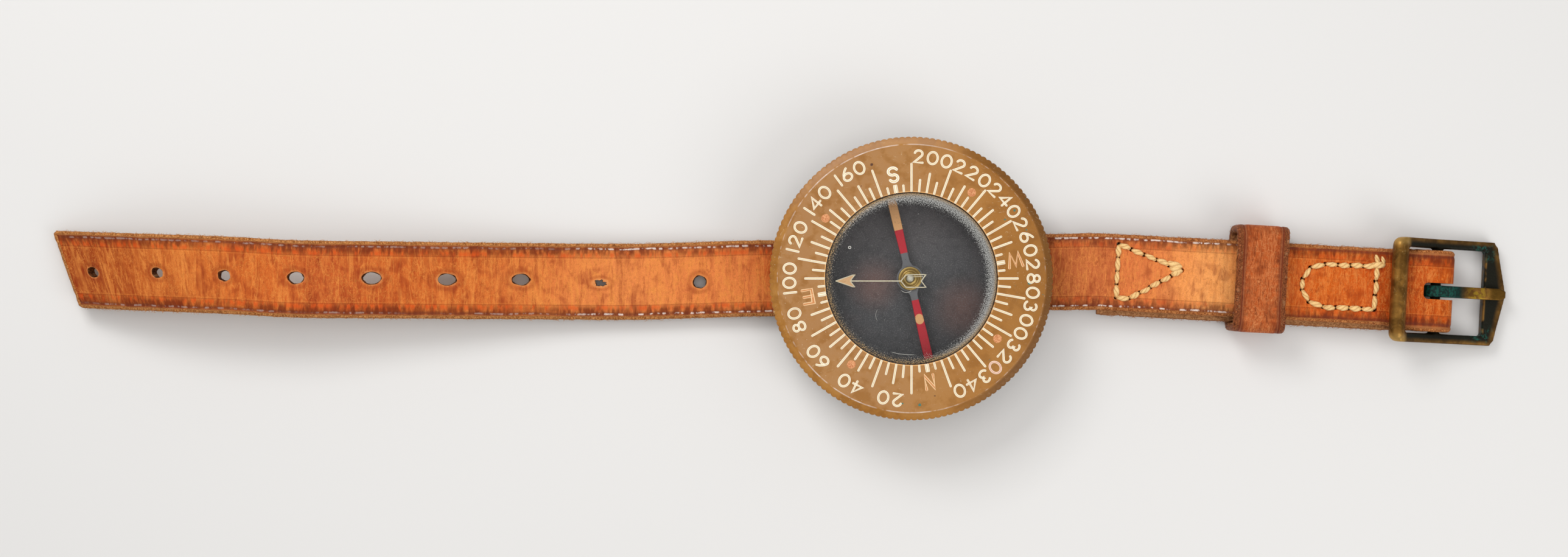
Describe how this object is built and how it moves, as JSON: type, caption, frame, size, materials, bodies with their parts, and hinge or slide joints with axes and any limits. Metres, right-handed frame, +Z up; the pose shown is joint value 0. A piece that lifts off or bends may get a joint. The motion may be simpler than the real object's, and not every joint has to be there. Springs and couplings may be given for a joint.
{
  "type": "wrist compass",
  "caption": "Liquid-filled wrist compass: a graduated turning bezel round a domed capsule, on a punched leather strap with a sliding keeper and a pin buckle.",
  "frame": {"origin": "centre of the flat back cover, on the needle's axis, with z = 0 on the table that the part lies on", "axes": "+Z up out of the dial, +X along the strap towards the buckle, +Y across the strap"},
  "size_m": [0.2948, 0.056, 0.019],
  "materials": {
    "case_plastic": "satin brown moulded plastic, worn",
    "bezel_plastic": "satin ochre-brown moulded plastic, scratched",
    "bowl_plastic": "gloss black moulded plastic",
    "crystal": "clear polished acrylic, worn at the rim",
    "gasket_rubber": "matt black rubber",
    "brass": "turned brass",
    "buckle_brass": "cast brass, aged brown with green patina",
    "prong_brass": "brass wire strip, aged",
    "cap_brass": "bright turned brass",
    "spring_steel": "spring steel",
    "needle_paint": "red, tan and grey painted steel",
    "jewel": "polished jewel",
    "lume": "aged luminous compound",
    "arrow_paint": "cream transfer",
    "strap_leather": "saddle-tan vegetable-tanned leather, worn and creased",
    "keeper_leather": "darker red-brown leather, worn",
    "thread": "waxed cream thread"
  },
  "bodies": {
    "case": {"case_body": "case_plastic", "back_cover": "case_plastic", "cover_screw_1": "brass", "cover_screw_2": "brass", "cover_screw_3": "brass", "cover_screw_4": "brass", "bezel_snap_ring": "spring_steel", "bezel_wave_spring": "spring_steel", "bowl": "bowl_plastic", "filler_plug": "brass", "pivot_post": "brass", "pivot_pin": "spring_steel", "crystal": "crystal", "crystal_gasket": "gasket_rubber", "crystal_clamp_ring": "brass", "index_arrow": "arrow_paint", "strap_centre": "strap_leather"},
    "bezel": {"bezel": "bezel_plastic", "lume_dot_045": "lume", "lume_dot_135": "lume", "lume_dot_225": "lume", "lume_dot_315": "lume"},
    "needle": {"needle": "needle_paint", "needle_cap": "cap_brass", "needle_jewel": "jewel"},
    "tail": {"strap_tail": "strap_leather"},
    "buckle_strap": {"strap_buckle_end": "strap_leather", "triangle_stitching": "thread", "box_stitching": "thread"},
    "keeper": {"keeper_loop": "keeper_leather"},
    "buckle": {"buckle_frame": "buckle_brass"},
    "prong": {"buckle_prong": "prong_brass"}
  },
  "joints": [
    {"name": "bezel_turn", "type": "hinge", "parent": "case", "child": "bezel", "pos_m": [0, 0, 0.0135], "axis": [0, 0, 1], "continuous": true},
    {"name": "needle_swing", "type": "hinge", "parent": "case", "child": "needle", "pos_m": [0, 0, 0.011], "axis": [0, 0, 1], "continuous": true},
    {"name": "tail_flex", "type": "hinge", "parent": "case", "child": "tail", "pos_m": [-0.02445, 0, 0.0031], "axis": [0, -1, 0], "range_deg": [-35, 90]},
    {"name": "buckle_end_flex", "type": "hinge", "parent": "case", "child": "buckle_strap", "pos_m": [0.02445, 0.0013, 0.0031], "axis": [0, 1, 0], "range_deg": [-35, 90]},
    {"name": "keeper_slide", "type": "slide", "parent": "buckle_strap", "child": "keeper", "axis": [0.9985, -0.0541, 0], "range_m": [-0.008, 0.0024]},
    {"name": "buckle_tilt", "type": "hinge", "parent": "buckle_strap", "child": "buckle", "pos_m": [0.1066, -0.00258, 0.0044], "axis": [0.0541, 0.9985, 0], "range_deg": [-4, 100]},
    {"name": "prong_lift", "type": "hinge", "parent": "buckle", "child": "prong", "pos_m": [0.1066, -0.00258, 0.0044], "axis": [-0.0541, -0.9985, 0], "range_deg": [0, 95]}
  ]
}
